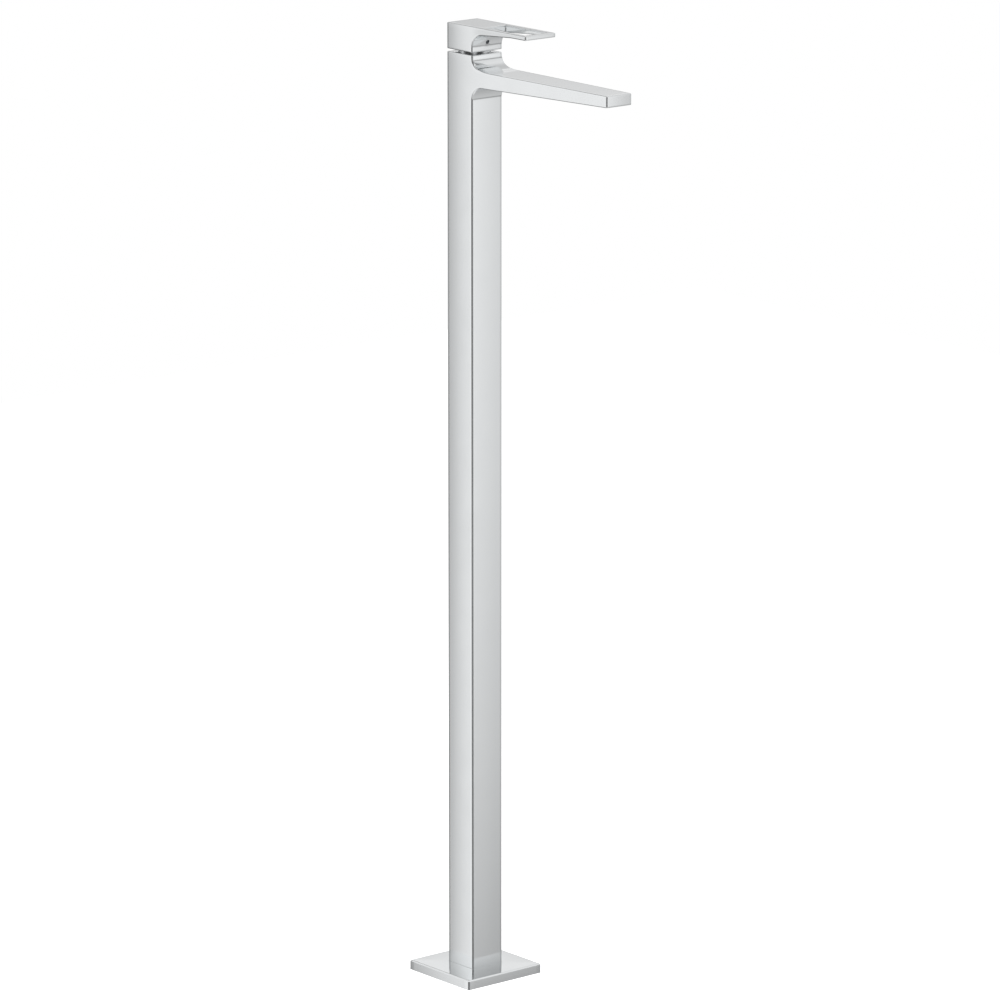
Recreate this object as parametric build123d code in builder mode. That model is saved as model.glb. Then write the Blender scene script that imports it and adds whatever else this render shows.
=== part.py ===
from build123d import *
import os
from math import atan2, hypot, radians, sin

# Floor-standing basin mixer with a loop lever, in millimetres.
# The origin is on the floor under the middle of the column. The spout points along -Y, +Z is up.

# Column, body and base
column_width = 46.0
tube_wall = 2.5
edge_radius = 1.3
total_height = 1155.0
handle_height = 31.0
handle_gap = 3.0
head_length = 71.0
spigot_length = 25.0
spigot_play = 0.1
escutcheon_width = 113.0
escutcheon_height = 12.0
escutcheon_wall = 2.0
escutcheon_bevel = 1.6
column_hole_play = 0.25
flange_play = 3.5
flange_thickness = 8.0
hidden_corner_radius = 3.2
anchor_inset = 13.0
anchor_hole_radius = 4.5
anchor_sink_radius = 8.5
socket_thin_wall = 1.8
socket_thick_wall = 5.0
socket_thick_start = 26.0
socket_top = 70.0
set_screw_radius = 2.5
set_screw_length = 4.6
set_screw_recess = 0.3
set_screw_end_gap = 0.4
set_screw_heights = (40.0, 58.0)
hex_key = 2.5
hex_key_depth = 2.2
gasket_rim = 3.5

# Spout
spout_reach = 259.5
spout_drop = 17.8
spout_root_height = 19.7
spout_tip_height = 13.9
spout_tip_width = 37.3
spout_edge_radius = 1.1
throat_run = 35.0
throat_stiff = 2.8
throat_soft = 11.5
under_radius = 16.5

# Handle
handle_length = 143.0
handle_wall = 2.5
handle_cavity_height = 19.0
arm_root_thickness = 10.0
arm_tip_thickness = 5.2
arm_level_length = 28.0
arm_bend_radius = 150.0
under_arm_radius = 17.0
loop_width = 32.0
loop_back = 37.5
loop_bar = 8.0
loop_corner_radius = 1.0
boss_radius = 8.5
boss_web_width = 11.0
grub_height = 13.9
plug_length = 2.2
grub_length = 12.0

# Cartridge: radii, then heights from the bottom up
cartridge_radius = 17.5
cartridge_play = 0.3
thread_radius = 19.0
thread_play = 0.05
chamber_radius = 15.8
neck_radius = 15.3
neck_bore = 14.25
running_play = 0.05
disc_radius = 15.6
moving_disc_radius = 12.5
carrier_radius = 13.0
pocket_offset = 1.0
pocket_half_width = 5.8
pocket_half_length = 4.5
pocket_roof = 1.5
cartridge_depth = 38.0
base_height = 11.0
base_boss = 3.0
fixed_disc_thickness = 4.0
moving_disc_thickness = 3.5
carrier_height = 7.0
tongue_height = 2.2
tongue_half_width = 7.95
tongue_half_length = 8.5
well_flare = 1.9
rib_width = 1.95
rib_half_length = 9.0
slide_play = 0.1
shoulder_depth = 10.5
shoulder_wall = 1.7
housing_top_depth = 3.0
nut_wall = 3.45
nut_height = 6.5
nut_notch = 3.0
nut_notch_depth = 1.5
dome_outer_radius = 18.5
dome_inner_radius = 16.9
dome_lip_radius = 15.8
dome_rise = 5.0
dome_lip = 0.7
rotor_head_radius = 16.6
rotor_rise = 4.0

# Lever stem and its pin
pivot_back = 12.0
pivot_rise = 1.0
pin_radius = 1.75
pin_length = 17.0
lift_degrees = 14.0
tang_width = 8.0
tang_play = 0.1
tang_rise = 20.0
stem_arm_depth = 2.0
stem_arm_rise = 4.0
hub_radius = 3.5
stem_slot_play = 0.15
slot_front_play = 1.2
leg_root = 1.9
leg_tip = 1.25
ball_radius = 2.5
ball_back = 5.5
ball_depth = 15.0
stem_leg_width = 5.0
ball_play = 0.15
well_side_play = 0.5
well_floor_gap = 0.4

# Waterways, supply pipes and their nuts
port_radius = 2.6
side_port_radius = 2.2
inlet_side = 5.2
inlet_front = 4.6
outlet_back = 2.2
seal_width = 1.4
waist_radius = 15.2
seal_height = 1.6
duct_width = 16.0
duct_height = 5.0
duct_root_height = 1.5
duct_tip_cover = 2.2
pipe_side = 7.8
pipe_stagger = 6.6
pipe_radius = 5.0
pipe_wall = 1.0
pipe_play = 0.05
pipe_socket_depth = 16.0
pipe_end_gap = 1.0
pipe_seal_radius = 6.3
pipe_seal_height = 2.0
pipe_seal_inset = 6.0
collar_radius = 7.8
collar_thickness = 2.0
washer_thickness = 2.0
nut_across_flats = 19.0
union_thread_radius = 7.5
union_thread_length = 8.0
union_relief_radius = 8.0
union_roof = 2.0
union_floor_gap = 8.0
spacer_heights = (280.0, 540.0, 800.0)
spacer_thickness = 6.0
spacer_play = 0.3

# Aerator in the underside of the spout tip
aerator_setback = 16.5
aerator_bore = 12.0
aerator_height = 5.2
aerator_wall = 2.4
aerator_seal_height = 1.2
aerator_seal_width = 3.6
aerator_hole = 1.1
aerator_inset = 0.6
aerator_recess = 0.7

# Places worked out from the sizes above
half = column_width / 2
front = -half
body_top = total_height - handle_height - handle_gap
handle_bottom = body_top + handle_gap
head_bottom = body_top - head_length
tube_inside = column_width - 2 * tube_wall
spigot_width = tube_inside - 2 * spigot_play
flange_width = escutcheon_width - 2 * escutcheon_wall - 2 * flange_play
anchor_spacing = flange_width - 2 * anchor_inset
spout_top = body_top - spout_drop
spout_tip = -spout_reach
under_root = spout_top - spout_root_height
under_tip = spout_top - spout_tip_height
under_slope = (under_tip - under_root) / (spout_reach - half)
base_bottom = body_top - cartridge_depth
base_top = base_bottom + base_height
fixed_top = base_top + fixed_disc_thickness
moving_top = fixed_top + moving_disc_thickness
carrier_top = moving_top + carrier_height
tongue_top = carrier_top + tongue_height
rotor_bottom = tongue_top + cartridge_play
rib_bottom = carrier_top + slide_play
housing_bottom = base_top - base_boss
shoulder = body_top - shoulder_depth
chamber_top = shoulder - shoulder_wall
housing_top = body_top - housing_top_depth
head_rest = housing_top + slide_play
nut_top = shoulder + nut_height
bore_radius = cartridge_radius + cartridge_play
pivot_height = body_top + pivot_rise
ball_height = body_top - ball_depth
leg_angle = atan2(pivot_back - ball_back, pivot_height - ball_height)
leg_length = hypot(pivot_back - ball_back, pivot_height - ball_height)
disc_travel = leg_length * (sin(leg_angle + radians(lift_degrees)) - sin(leg_angle))
disc_start = disc_travel / 2
ports = [(-inlet_side, -inlet_front), (inlet_side, -inlet_front), (0, outlet_back)]
inlets = ports[:2]
pipes = [(-pipe_side, pipe_stagger), (pipe_side, -pipe_stagger)]
socket_bottom = head_bottom - spigot_length
socket_end = socket_bottom + pipe_socket_depth
collar_bottom = union_floor_gap + union_thread_length + washer_thickness
union_roof_bottom = collar_bottom + collar_thickness
aerator_y = spout_tip + aerator_setback
aerator_mouth = under_root + under_slope * (-aerator_y - half)
aerator_bottom = aerator_mouth + aerator_recess
aerator_seat = aerator_bottom + aerator_height + aerator_seal_height
grub_z = body_top + grub_height

os.makedirs("parts", exist_ok=True)


def finish(part, name):
    """Names a finished piece and writes its file."""
    part.part.label = name
    export_step(part.part, f"parts/{name}.step")


# Floor flange: a steel plate for four countersunk anchors, with a square socket for the column.
screw_hole_depth = set_screw_recess + set_screw_length + set_screw_end_gap - tube_wall - spigot_play
with BuildPart() as floor_flange:
    with BuildSketch():
        RectangleRounded(flange_width, flange_width, hidden_corner_radius)
    extrude(amount=flange_thickness)
    with BuildSketch(Plane.XY.offset(flange_thickness)):
        RectangleRounded(spigot_width, spigot_width, edge_radius)
    extrude(amount=socket_top - flange_thickness)
    with BuildSketch():
        Rectangle(spigot_width - 2 * socket_thin_wall, spigot_width - 2 * socket_thin_wall)
    extrude(amount=socket_thick_start, mode=Mode.SUBTRACT)
    with BuildSketch():
        Rectangle(spigot_width - 2 * socket_thick_wall, spigot_width - 2 * socket_thick_wall)
    extrude(amount=socket_top, mode=Mode.SUBTRACT)
    with Locations((0, 0, flange_thickness)):
        with GridLocations(anchor_spacing, anchor_spacing, 2, 2):
            CounterSinkHole(anchor_hole_radius, anchor_sink_radius, depth=flange_thickness)
    for height in set_screw_heights:
        with BuildSketch(Plane.XZ.offset(-spigot_width / 2)):
            with Locations((0, height)):
                Circle(set_screw_radius)
        extrude(amount=screw_hole_depth, mode=Mode.SUBTRACT)
finish(floor_flange, "floor_flange")

# Base cover: a pressed square shell that slides down the column onto the floor.
with BuildPart() as escutcheon:
    with BuildSketch():
        RectangleRounded(escutcheon_width, escutcheon_width, escutcheon_bevel)
    extrude(amount=escutcheon_height)
    chamfer(escutcheon.faces().sort_by(Axis.Z)[-1].edges(), escutcheon_bevel)
    with BuildSketch():
        RectangleRounded(
            escutcheon_width - 2 * escutcheon_wall,
            escutcheon_width - 2 * escutcheon_wall,
            escutcheon_bevel,
        )
    extrude(amount=escutcheon_height - escutcheon_wall, mode=Mode.SUBTRACT)
    with BuildSketch(Plane.XY.offset(escutcheon_height)):
        RectangleRounded(
            column_width + 2 * column_hole_play, column_width + 2 * column_hole_play, edge_radius
        )
    extrude(amount=-escutcheon_wall, mode=Mode.SUBTRACT)
finish(escutcheon, "escutcheon")

# Flat gasket between the flange and the cover, round the column.
with BuildPart() as escutcheon_seal:
    with BuildSketch(Plane.XY.offset(flange_thickness)):
        RectangleRounded(column_width + 2 * gasket_rim, column_width + 2 * gasket_rim, hidden_corner_radius)
        RectangleRounded(
            column_width + 2 * spigot_play, column_width + 2 * spigot_play, edge_radius, mode=Mode.SUBTRACT
        )
    extrude(amount=escutcheon_height - escutcheon_wall - flange_thickness)
finish(escutcheon_seal, "escutcheon_seal")

# Column: a square tube with crisp corners, from the flange to the head.
with BuildPart() as column_tube:
    with BuildSketch(Plane.XY.offset(flange_thickness)):
        RectangleRounded(column_width, column_width, edge_radius)
        RectangleRounded(tube_inside, tube_inside, edge_radius, mode=Mode.SUBTRACT)
    extrude(amount=head_bottom - flange_thickness)
    for height in set_screw_heights:
        with BuildSketch(Plane.XZ.offset(-half)):
            with Locations((0, height)):
                Circle(set_screw_radius)
        extrude(amount=tube_wall, mode=Mode.SUBTRACT)
finish(column_tube, "column_tube")

# Two set screws in the rear face hold the tube on the flange's socket.
with BuildPart() as column_set_screws:
    for height in set_screw_heights:
        with BuildSketch(Plane.XZ.offset(set_screw_recess - half)):
            with Locations((0, height)):
                Circle(set_screw_radius - thread_play)
        extrude(amount=set_screw_length)
        with BuildSketch(Plane.XZ.offset(set_screw_recess - half)):
            with Locations((0, height)):
                RegularPolygon(hex_key / 2, 6, major_radius=False)
        extrude(amount=hex_key_depth, mode=Mode.SUBTRACT)
finish(column_set_screws, "column_set_screws")

# Head: body and spout are one casting, with a spigot that is brazed into the column.
with BuildPart() as mixer_head:
    with BuildSketch(Plane.YZ):
        with BuildLine():
            Polyline((front, head_bottom), (half, head_bottom), (half, body_top), (front, body_top))
            Bezier(
                (front, body_top),
                (front, spout_top + throat_stiff),
                (front - throat_soft, spout_top),
                (front - throat_run, spout_top),
            )
            Polyline(
                (front - throat_run, spout_top),
                (spout_tip, spout_top),
                (spout_tip, under_tip),
                (front, under_root),
                (front, head_bottom),
            )
        make_face()
        fillet(vertices().sort_by_distance((front, under_root))[0], under_radius)
    extrude(amount=half, both=True)
    with BuildSketch(Plane.XY.offset(head_bottom)):
        for side in (-1, 1):
            with BuildLine():
                Polyline(
                    (side * half, front),
                    (side * spout_tip_width / 2, spout_tip),
                    (side * column_width, spout_tip),
                    close=True,
                )
            make_face()
    extrude(amount=head_length, mode=Mode.SUBTRACT)
    # Every outer edge is broken but those at the seam with the tube and where two faces run smoothly on
    across = mixer_head.edges().filter_by(Axis.X)
    outline = mixer_head.edges() - across - mixer_head.edges().group_by(Axis.Z)[0]
    fillet(outline + across.group_by(Axis.Z)[-1] + across.group_by(Axis.Y)[0], spout_edge_radius)
    with BuildSketch(Plane.XY.offset(socket_bottom)):
        RectangleRounded(spigot_width, spigot_width, edge_radius)
    extrude(amount=spigot_length)
    # Cartridge bore with its threaded mouth
    with BuildSketch(Plane.XY.offset(base_bottom)):
        Circle(bore_radius)
    extrude(amount=cartridge_depth, mode=Mode.SUBTRACT)
    with BuildSketch(Plane.XY.offset(shoulder)):
        Circle(thread_radius)
    extrude(amount=shoulder_depth, mode=Mode.SUBTRACT)
    # Pipe sockets with a groove for the seal, and a slanting bore from each to its inlet
    with BuildSketch(Plane.XY.offset(socket_bottom)):
        with Locations(*pipes):
            Circle(pipe_radius + pipe_play)
    extrude(amount=pipe_socket_depth, mode=Mode.SUBTRACT)
    with BuildSketch(Plane.XY.offset(socket_bottom + pipe_seal_inset)):
        with Locations(*pipes):
            Circle(pipe_seal_radius + pipe_play)
    extrude(amount=pipe_seal_height + 2 * slide_play, mode=Mode.SUBTRACT)
    for (pipe_x, pipe_y), (port_x, port_y) in zip(pipes, inlets):
        start = Vector(pipe_x, pipe_y, socket_end - port_radius)
        end = Vector(port_x, port_y, base_bottom + port_radius)
        with BuildSketch(Plane(origin=start, z_dir=end - start)):
            Circle(port_radius)
        extrude(amount=(end - start).length, mode=Mode.SUBTRACT)
    # Flat duct from the cartridge bore to the aerator
    with BuildSketch(Plane.YZ):
        with BuildLine():
            Polyline(
                (-waist_radius, base_bottom + duct_root_height),
                (aerator_y, spout_top - duct_tip_cover - duct_height),
                (aerator_y, spout_top - duct_tip_cover),
                (-waist_radius, base_bottom + duct_root_height + duct_height),
                close=True,
            )
        make_face()
    extrude(amount=duct_width / 2, both=True, mode=Mode.SUBTRACT)
    with BuildSketch(Plane.XY.offset(aerator_seat)):
        with Locations((0, aerator_y)):
            Circle(aerator_bore)
    extrude(amount=aerator_mouth - aerator_seat - aerator_recess, mode=Mode.SUBTRACT)
finish(mixer_head, "mixer_head")

# Supply pipes with their union nuts: hot on the left of someone facing the spout, cold on the right.
for side_name, (pipe_x, pipe_y) in zip(("hot", "cold"), pipes):
    with BuildPart() as supply_pipe:
        with BuildSketch(Plane.XY.offset(collar_bottom)):
            with Locations((pipe_x, pipe_y)):
                Circle(pipe_radius)
        extrude(amount=socket_end - pipe_end_gap - collar_bottom)
        with BuildSketch(Plane.XY.offset(collar_bottom)):
            with Locations((pipe_x, pipe_y)):
                Circle(collar_radius)
        extrude(amount=collar_thickness)
        with BuildSketch(Plane.XY.offset(collar_bottom)):
            with Locations((pipe_x, pipe_y)):
                Circle(pipe_radius - pipe_wall)
        extrude(amount=socket_end - collar_bottom, mode=Mode.SUBTRACT)
    finish(supply_pipe, f"{side_name}_supply_pipe")
    with BuildPart() as union_nut:
        with BuildSketch(Plane.XY.offset(union_floor_gap)):
            with Locations((pipe_x, pipe_y)):
                RegularPolygon(nut_across_flats / 2, 6, major_radius=False, rotation=30)
        extrude(amount=union_roof_bottom + union_roof - union_floor_gap)
        with BuildSketch(Plane.XY.offset(union_floor_gap)):
            with Locations((pipe_x, pipe_y)):
                Circle(union_thread_radius)
        extrude(amount=union_thread_length, mode=Mode.SUBTRACT)
        with BuildSketch(Plane.XY.offset(union_floor_gap + union_thread_length)):
            with Locations((pipe_x, pipe_y)):
                Circle(union_relief_radius)
        extrude(amount=washer_thickness + collar_thickness, mode=Mode.SUBTRACT)
        with BuildSketch(Plane.XY.offset(union_roof_bottom)):
            with Locations((pipe_x, pipe_y)):
                Circle(pipe_radius + 2 * pipe_play)
        extrude(amount=union_roof, mode=Mode.SUBTRACT)
    finish(union_nut, f"{side_name}_union_nut")

# A fibre washer under each pipe's collar.
with BuildPart() as union_washers:
    with BuildSketch(Plane.XY.offset(collar_bottom - washer_thickness)):
        with Locations(*pipes):
            Circle(collar_radius)
        with Locations(*pipes):
            Circle(pipe_radius - pipe_wall, mode=Mode.SUBTRACT)
    extrude(amount=washer_thickness)
finish(union_washers, "union_washers")

# Plastic spacers keep the pipes apart and off the tube.
with BuildPart() as pipe_spacers:
    for height in spacer_heights:
        with BuildSketch(Plane.XY.offset(height)):
            RectangleRounded(
                tube_inside - 2 * spacer_play, tube_inside - 2 * spacer_play, hidden_corner_radius
            )
            with Locations(*pipes):
                Circle(pipe_radius + pipe_play, mode=Mode.SUBTRACT)
        extrude(amount=spacer_thickness)
finish(pipe_spacers, "pipe_spacers")

# A rubber ring round each pipe's top end.
with BuildPart() as pipe_seals:
    with BuildSketch(Plane.XY.offset(socket_bottom + pipe_seal_inset + slide_play)):
        with Locations(*pipes):
            Circle(pipe_seal_radius)
        with Locations(*pipes):
            Circle(pipe_radius, mode=Mode.SUBTRACT)
    extrude(amount=pipe_seal_height)
finish(pipe_seals, "pipe_seals")

# Cartridge base: two inlets straight through, the outlet down and out at the back into the waist.
waist_top = base_bottom + duct_root_height + duct_height
seal_radius = port_radius + slide_play + seal_width
with BuildPart() as cartridge_base:
    with BuildSketch(Plane.XY.offset(base_bottom)):
        Circle(cartridge_radius)
    extrude(amount=base_height - base_boss)
    with BuildSketch(Plane.XY.offset(housing_bottom)):
        Circle(disc_radius)
    extrude(amount=base_boss)
    with BuildSketch(Plane.XY.offset(base_bottom + duct_root_height)):
        Circle(bore_radius)
        Circle(waist_radius, mode=Mode.SUBTRACT)
    extrude(amount=duct_height, mode=Mode.SUBTRACT)
    with BuildSketch(Plane.XY.offset(base_bottom)):
        with Locations(*inlets):
            Circle(port_radius)
    extrude(amount=base_height, mode=Mode.SUBTRACT)
    with BuildSketch(Plane.XY.offset(base_bottom + duct_root_height)):
        with Locations(ports[2]):
            Circle(port_radius)
    extrude(amount=base_height, mode=Mode.SUBTRACT)
    with BuildSketch(Plane.XZ.offset(-outlet_back)):
        with Locations((0, waist_top - port_radius)):
            Circle(side_port_radius)
    extrude(amount=-cartridge_radius, mode=Mode.SUBTRACT)
    with BuildSketch(Plane.XY.offset(base_top - seal_height)):
        with Locations(*ports):
            Circle(seal_radius + running_play)
    extrude(amount=seal_height, mode=Mode.SUBTRACT)
    with BuildSketch(Plane.XY.offset(base_bottom)):
        with Locations(*inlets):
            Circle(seal_radius + running_play)
    extrude(amount=seal_height, mode=Mode.SUBTRACT)
finish(cartridge_base, "cartridge_base")

# Rubber rings: two under the base on its inlets, three under the fixed disc on all ports.
for name, places, bottom in (
    ("cartridge_base_seals", inlets, base_bottom),
    ("disc_seals", ports, base_top - seal_height),
):
    with BuildPart() as seals:
        with BuildSketch(Plane.XY.offset(bottom)):
            with Locations(*places):
                Circle(seal_radius)
            with Locations(*places):
                Circle(seal_radius - seal_width, mode=Mode.SUBTRACT)
        extrude(amount=seal_height)
    finish(seals, name)

# Cartridge housing: a plastic sleeve with a shoulder for the ring nut and a neck that guides the rotor.
with BuildPart() as cartridge_housing:
    with BuildSketch(Plane.XY.offset(housing_bottom)):
        Circle(cartridge_radius)
    extrude(amount=shoulder - housing_bottom)
    with BuildSketch(Plane.XY.offset(shoulder)):
        Circle(neck_radius)
    extrude(amount=housing_top - shoulder)
    with BuildSketch(Plane.XY.offset(housing_bottom)):
        Circle(chamber_radius)
    extrude(amount=chamber_top - housing_bottom, mode=Mode.SUBTRACT)
    with BuildSketch(Plane.XY.offset(chamber_top)):
        Circle(neck_bore)
    extrude(amount=housing_top - chamber_top, mode=Mode.SUBTRACT)
finish(cartridge_housing, "cartridge_housing")

# Fixed ceramic disc: its three ports are the inlets and the outlet.
with BuildPart() as fixed_ceramic_disc:
    with BuildSketch(Plane.XY.offset(base_top)):
        Circle(disc_radius)
        with Locations(*ports):
            Circle(port_radius, mode=Mode.SUBTRACT)
    extrude(amount=fixed_disc_thickness)
finish(fixed_ceramic_disc, "fixed_ceramic_disc")

# Moving ceramic disc: a pocket underneath joins the inlets to the outlet as it slides forward.
with BuildPart() as moving_ceramic_disc:
    with BuildSketch(Plane.XY.offset(fixed_top)):
        with Locations((0, disc_start)):
            Circle(moving_disc_radius)
    extrude(amount=moving_disc_thickness)
    with BuildSketch(Plane.XY.offset(fixed_top)):
        with Locations((0, outlet_back + pocket_offset)):
            Ellipse(pocket_half_width, pocket_half_length)
    extrude(amount=moving_disc_thickness - pocket_roof, mode=Mode.SUBTRACT)
finish(moving_ceramic_disc, "moving_ceramic_disc")

# Disc carrier: slides between the rotor's ribs, moved by the ball of the stem in its well.
ball_well = 2 * (ball_radius + ball_play)
well_width = stem_leg_width + 2 * well_side_play
with BuildPart() as disc_carrier:
    with BuildSketch(Plane.XY.offset(moving_top)):
        with Locations((0, disc_start)):
            Circle(carrier_radius)
    extrude(amount=carrier_height)
    with BuildSketch(Plane.XY.offset(carrier_top)):
        with Locations((0, disc_start)):
            Rectangle(2 * tongue_half_width, 2 * tongue_half_length)
    extrude(amount=tongue_height)
    with BuildSketch(Plane.XY.offset(ball_height - ball_radius - well_floor_gap)):
        with Locations((0, ball_back)):
            Rectangle(well_width, ball_well)
    extrude(amount=carrier_height + ball_depth, mode=Mode.SUBTRACT)
    with BuildSketch(Plane.XY.offset(carrier_top)):
        with Locations((0, ball_back + well_flare / 2)):
            Rectangle(well_width, ball_well + well_flare)
    extrude(amount=tongue_height, mode=Mode.SUBTRACT)
finish(disc_carrier, "disc_carrier")

# Ring nut: screwed into the head, it presses the housing down on its shoulder.
nut_bore = thread_radius - thread_play - nut_wall
with BuildPart() as cartridge_nut:
    with BuildSketch(Plane.XY.offset(shoulder)):
        Circle(thread_radius - thread_play)
        Circle(nut_bore, mode=Mode.SUBTRACT)
    extrude(amount=nut_height)
    with BuildSketch(Plane.XY.offset(nut_top)):
        with PolarLocations(thread_radius, 4, start_angle=45):
            Rectangle(2 * thread_radius, nut_notch)
    extrude(amount=-nut_notch_depth, mode=Mode.SUBTRACT)
finish(cartridge_nut, "cartridge_nut")

# Dome ring: seen in the gap under the handle, its lip keeps the rotor down.
with BuildPart() as dome_ring:
    with BuildSketch(Plane.XY.offset(nut_top)):
        Circle(dome_outer_radius)
    extrude(amount=body_top + dome_rise - nut_top)
    chamfer(dome_ring.faces().sort_by(Axis.Z)[-1].edges(), dome_lip)
    with BuildSketch(Plane.XY.offset(nut_top)):
        Circle(dome_inner_radius)
    extrude(amount=body_top + dome_rise - dome_lip - nut_top, mode=Mode.SUBTRACT)
    with BuildSketch(Plane.XY.offset(nut_top)):
        Circle(dome_lip_radius)
    extrude(amount=body_top + dome_rise - nut_top, mode=Mode.SUBTRACT)
finish(dome_ring, "dome_ring")

# Swivel rotor: turns with the handle, carries the pivot pin and guides the disc carrier.
slot_width = tang_width + 2 * stem_slot_play
slot_front = -tang_width / 2 - slot_front_play
with BuildPart() as swivel_rotor:
    with BuildSketch(Plane.XY.offset(head_rest)):
        Circle(rotor_head_radius)
    extrude(amount=body_top + rotor_rise - head_rest)
    with BuildSketch(Plane.XY.offset(rotor_bottom)):
        Circle(neck_bore - running_play)
    extrude(amount=head_rest - rotor_bottom)
    with BuildSketch(Plane.XY.offset(rib_bottom)):
        for side in (-1, 1):
            with Locations((side * (tongue_half_width + slide_play + rib_width / 2), 0)):
                Rectangle(rib_width, 2 * rib_half_length)
    extrude(amount=rotor_bottom - rib_bottom)
    with BuildSketch(Plane.XY.offset(rib_bottom)):
        with Locations((0, slot_front)):
            Rectangle(slot_width, 2 * rotor_head_radius, align=(Align.CENTER, Align.MIN))
    extrude(amount=body_top + rotor_rise - rib_bottom, mode=Mode.SUBTRACT)
    with BuildSketch(Plane.YZ):
        with Locations((pivot_back, pivot_height)):
            Circle(pin_radius)
    extrude(amount=pin_length / 2, both=True, mode=Mode.SUBTRACT)
finish(swivel_rotor, "swivel_rotor")

# Pivot pin: fixed in the rotor's ears, the stem turns on it.
with BuildPart() as pivot_pin:
    with BuildSketch(Plane.YZ):
        with Locations((pivot_back, pivot_height)):
            Circle(pin_radius)
    extrude(amount=pin_length / 2, both=True)
finish(pivot_pin, "pivot_pin")

# Lever stem: square tang up into the handle, hub on the pin, leg down to the ball in the carrier.
with BuildPart() as lever_stem:
    with BuildSketch(Plane.YZ):
        with Locations((0, body_top + (tang_rise - stem_arm_depth) / 2)):
            Rectangle(tang_width, tang_rise + stem_arm_depth)
        with BuildLine():
            Polyline(
                (0, body_top - stem_arm_depth),
                (pivot_back, body_top - stem_arm_depth),
                (pivot_back, body_top + stem_arm_rise),
                (0, body_top + stem_arm_rise),
                close=True,
            )
        make_face()
        with Locations((pivot_back, pivot_height)):
            Circle(hub_radius)
    extrude(amount=tang_width / 2, both=True)
    with BuildSketch(Plane.YZ):
        with BuildLine():
            Polyline(
                (pivot_back - leg_root, pivot_height),
                (pivot_back + leg_root, pivot_height),
                (ball_back + leg_tip, ball_height),
                (ball_back - leg_tip, ball_height),
                close=True,
            )
        make_face()
    extrude(amount=stem_leg_width / 2, both=True)
    with Locations((0, ball_back, ball_height)):
        Sphere(ball_radius)
    with BuildSketch(Plane.YZ):
        with Locations((pivot_back, pivot_height)):
            Circle(pin_radius + running_play)
    extrude(amount=tang_width, both=True, mode=Mode.SUBTRACT)
finish(lever_stem, "lever_stem")

# Handle: a hollow block with the flat loop in one casting, and a boss inside that takes the stem.
cavity_half = half - handle_wall
cavity_top = handle_bottom + handle_cavity_height
boss_bottom = grub_z - boss_web_width / 2
with BuildPart() as handle:
    with BuildSketch(Plane.YZ):
        with BuildLine():
            Polyline(
                (half, handle_bottom),
                (half, total_height),
                (half - handle_length, total_height),
                (half - handle_length, total_height - arm_tip_thickness),
                (half - handle_length + arm_level_length, total_height - arm_tip_thickness),
                (front, total_height - arm_root_thickness),
                (front, handle_bottom),
                close=True,
            )
        make_face()
        fillet(vertices().sort_by_distance((front, total_height - arm_root_thickness))[0], under_arm_radius)
        bend = (half - handle_length + arm_level_length, total_height - arm_tip_thickness)
        fillet(vertices().sort_by_distance(bend)[0], arm_bend_radius)
    extrude(amount=half, both=True)
    # Every outer edge is broken but those under the arm, where its arcs run smoothly on
    across = handle.edges().filter_by(Axis.X)
    between_rims = across.filter_by_position(Axis.Z, handle_bottom + edge_radius, total_height - edge_radius)
    arc_ends = between_rims - across.group_by(Axis.Y)[0]
    fillet(handle.edges() - arc_ends, spout_edge_radius)
    with BuildSketch(Plane.XY.offset(total_height)):
        with Locations((0, -(loop_back + handle_length - half - loop_bar) / 2)):
            RectangleRounded(loop_width, handle_length - half - loop_bar - loop_back, loop_corner_radius)
    extrude(amount=-handle_height, mode=Mode.SUBTRACT)
    with BuildSketch(Plane.XY.offset(handle_bottom)):
        RectangleRounded(2 * cavity_half, 2 * cavity_half, loop_corner_radius)
    extrude(amount=handle_cavity_height, mode=Mode.SUBTRACT)
    with BuildSketch(Plane.XY.offset(boss_bottom)):
        Circle(boss_radius)
        with Locations((0, -cavity_half / 2)):
            Rectangle(boss_web_width, cavity_half)
    extrude(amount=cavity_top - boss_bottom)
    with BuildSketch(Plane.XY.offset(boss_bottom)):
        Rectangle(tang_width + 2 * tang_play, tang_width + 2 * tang_play)
    extrude(amount=body_top + tang_rise + slide_play - boss_bottom, mode=Mode.SUBTRACT)
    with BuildSketch(Plane.XZ.offset(half)):
        with Locations((0, grub_z)):
            Circle(set_screw_radius)
    extrude(amount=-half, mode=Mode.SUBTRACT)
finish(handle, "handle")

# Grub screw behind the plug: clamps the handle on the tang.
with BuildPart() as handle_grub_screw:
    with BuildSketch(Plane.XZ.offset(tang_width / 2)):
        with Locations((0, grub_z)):
            Circle(set_screw_radius - thread_play)
    extrude(amount=grub_length)
    with BuildSketch(Plane.XZ.offset(tang_width / 2 + grub_length)):
        with Locations((0, grub_z)):
            RegularPolygon(hex_key / 2, 6, major_radius=False)
    extrude(amount=-hex_key_depth, mode=Mode.SUBTRACT)
finish(handle_grub_screw, "handle_grub_screw")

# Cover plug: the small grey dot in the front of the block.
with BuildPart() as screw_cover_plug:
    with BuildSketch(Plane.XZ.offset(half - slide_play)):
        with Locations((0, grub_z)):
            Circle(set_screw_radius - thread_play)
    extrude(amount=-plug_length)
finish(screw_cover_plug, "screw_cover_plug")

# Aerator: a threaded ring in the underside of the tip, with its insert and a flat seal above.
with BuildPart() as aerator_housing:
    with BuildSketch(Plane.XY.offset(aerator_bottom)):
        with Locations((0, aerator_y)):
            Circle(aerator_bore - thread_play)
            Circle(aerator_bore - aerator_wall, mode=Mode.SUBTRACT)
    extrude(amount=aerator_height)
finish(aerator_housing, "aerator_housing")

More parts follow.
